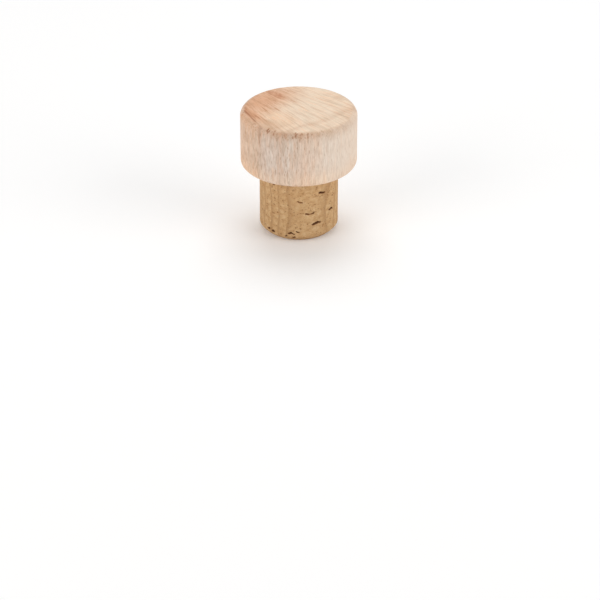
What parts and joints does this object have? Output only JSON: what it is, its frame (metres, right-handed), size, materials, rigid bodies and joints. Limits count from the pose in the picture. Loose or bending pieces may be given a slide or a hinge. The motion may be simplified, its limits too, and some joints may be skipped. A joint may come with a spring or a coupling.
{
  "type": "wine bottle stopper",
  "caption": "Squat round wooden cap with softened edges over a slimmer straight cork plug, pushed into a bottle's neck to close it.",
  "frame": {"origin": "centre of the plug's flat foot", "axes": "+Z along the stopper's axis, from the plug's foot up to the cap's top"},
  "size_m": [0.028, 0.028, 0.031],
  "materials": {
    "beech": "bare fine-sanded beech, end grain on top, matt",
    "cork": "natural cork, ground smooth, matt"
  },
  "bodies": {
    "root": {"wood_cap": "beech", "cork_plug": "cork"}
  },
  "joints": []
}
